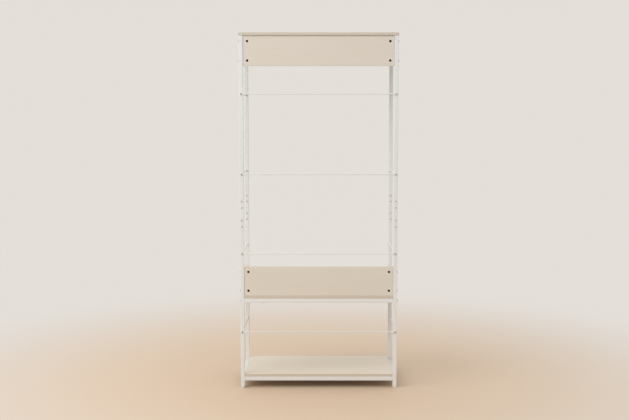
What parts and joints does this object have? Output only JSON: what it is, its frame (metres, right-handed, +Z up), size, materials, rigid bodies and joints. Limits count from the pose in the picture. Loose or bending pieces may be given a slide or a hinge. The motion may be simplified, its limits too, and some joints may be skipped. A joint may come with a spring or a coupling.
{
  "type": "clothes rack",
  "caption": "Tall open clothes rack of white square tube with a hanging rail, beige shelves above and below, low back boards and thin back rods.",
  "frame": {"origin": "on the floor under the middle of the rack", "axes": "+Z up; -Y towards the rear, which carries the back boards and rods; +Y towards the open front; X along the width, with left at -X as seen from the rear"},
  "size_m": [0.8026, 0.4033, 1.8],
  "materials": {
    "white_steel": "satin powder coat",
    "beige_board": "matt laminate with edge band",
    "bolt_steel": "zinc plated",
    "plain_steel": "bright zinc",
    "black_steel": "black oxide",
    "white_plastic": "moulded"
  },
  "bodies": {
    "frame": {"back_rod_1": "white_steel", "back_rod_2": "white_steel", "back_rod_3": "white_steel", "back_rod_4": "white_steel", "barrel_nuts": "black_steel", "board_bolts": "bolt_steel", "bottom_shelf": "beige_board", "foot_plugs": "white_plastic", "front_bottom_rail": "white_steel", "front_left_lower_post": "white_steel", "front_left_upper_post": "white_steel", "front_mid_rail": "white_steel", "front_right_lower_post": "white_steel", "front_right_upper_post": "white_steel", "front_top_rail": "white_steel", "hanging_rail": "white_steel", "hanging_rail_plugs": "white_plastic", "left_bottom_side_rail": "white_steel", "left_hanging_side_rail": "white_steel", "left_mid_side_rail": "white_steel", "left_rung_1": "white_steel", "left_rung_2": "white_steel", "left_rung_3": "white_steel", "left_rung_4": "white_steel", "left_top_side_rail": "white_steel", "lower_back_board": "beige_board", "mid_shelf": "beige_board", "rail_bolts": "bolt_steel", "rail_plugs": "white_plastic", "rear_bottom_rail": "white_steel", "rear_left_lower_post": "white_steel", "rear_left_upper_post": "white_steel", "rear_mid_rail": "white_steel", "rear_right_lower_post": "white_steel", "rear_right_upper_post": "white_steel", "right_bottom_side_rail": "white_steel", "right_hanging_side_rail": "white_steel", "right_mid_side_rail": "white_steel", "right_rung_1": "white_steel", "right_rung_2": "white_steel", "right_rung_3": "white_steel", "right_rung_4": "white_steel", "right_top_side_rail": "white_steel", "rod_bolts": "bolt_steel", "shelf_screws": "bolt_steel", "splice_bolts": "bolt_steel", "splice_inserts": "plain_steel", "top_shelf": "beige_board", "upper_back_board": "beige_board", "weld_nuts": "plain_steel"},
    "rear_left_foot": {"rear_left_foot_pad": "white_plastic", "rear_left_foot_stud": "plain_steel"},
    "rear_right_foot": {"rear_right_foot_pad": "white_plastic", "rear_right_foot_stud": "plain_steel"},
    "front_left_foot": {"front_left_foot_pad": "white_plastic", "front_left_foot_stud": "plain_steel"},
    "front_right_foot": {"front_right_foot_pad": "white_plastic", "front_right_foot_stud": "plain_steel"}
  },
  "joints": [
    {"name": "rear_left_foot_level", "type": "slide", "parent": "frame", "child": "rear_left_foot", "axis": [0, 0, 1], "range_m": [-0.01, 0]},
    {"name": "rear_right_foot_level", "type": "slide", "parent": "frame", "child": "rear_right_foot", "axis": [0, 0, 1], "range_m": [-0.01, 0]},
    {"name": "front_left_foot_level", "type": "slide", "parent": "frame", "child": "front_left_foot", "axis": [0, 0, 1], "range_m": [-0.01, 0]},
    {"name": "front_right_foot_level", "type": "slide", "parent": "frame", "child": "front_right_foot", "axis": [0, 0, 1], "range_m": [-0.01, 0]}
  ]
}
